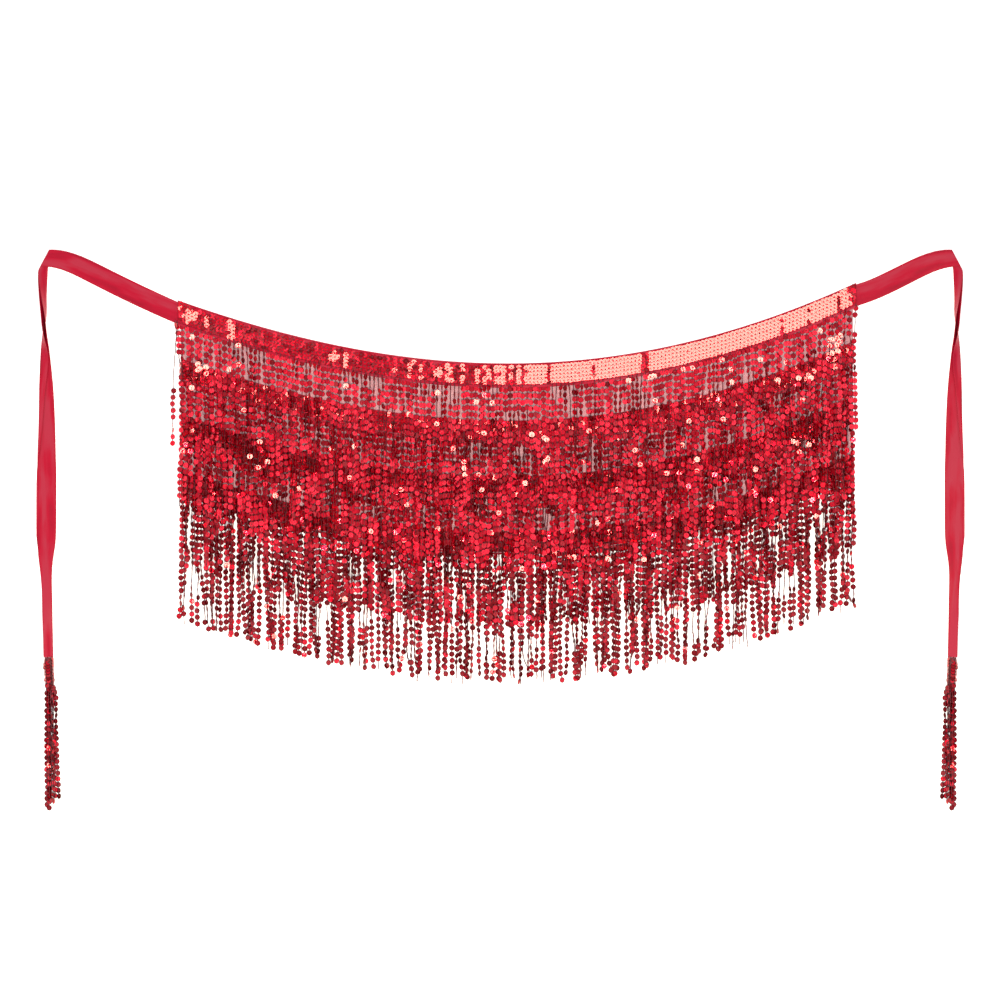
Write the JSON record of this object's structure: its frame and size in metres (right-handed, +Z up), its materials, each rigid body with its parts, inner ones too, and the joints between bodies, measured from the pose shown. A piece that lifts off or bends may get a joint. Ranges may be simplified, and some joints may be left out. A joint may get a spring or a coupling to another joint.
{
  "type": "sequin fringe belt",
  "caption": "Sequin fringe belt with a sequinned waistband on a net panel, tiers of hanging sequin fringe, ribbon ties and sequin tassels.",
  "frame": {"origin": "on the table, under the middle of the whole outline as the belt lies flat", "axes": "+X along the waistband to the right, +Y up the belt to the waist, +Z up from the table"},
  "size_m": [1.1144, 0.675, 0.0129],
  "materials": {
    "satin": "satin",
    "net": "matte",
    "sequins": "gloss"
  },
  "bodies": {
    "root": {"base_net": "net", "waistband": "satin", "sequin_band_1": "sequins", "sequin_band_2": "sequins", "sequin_band_3": "sequins", "sequin_band_4": "sequins", "fringe_1": "sequins", "fringe_2": "sequins", "fringe_3": "sequins", "fringe_4": "sequins", "tie_left": "satin", "tie_right": "satin", "tassel_left": "sequins", "tassel_right": "sequins"}
  },
  "joints": []
}
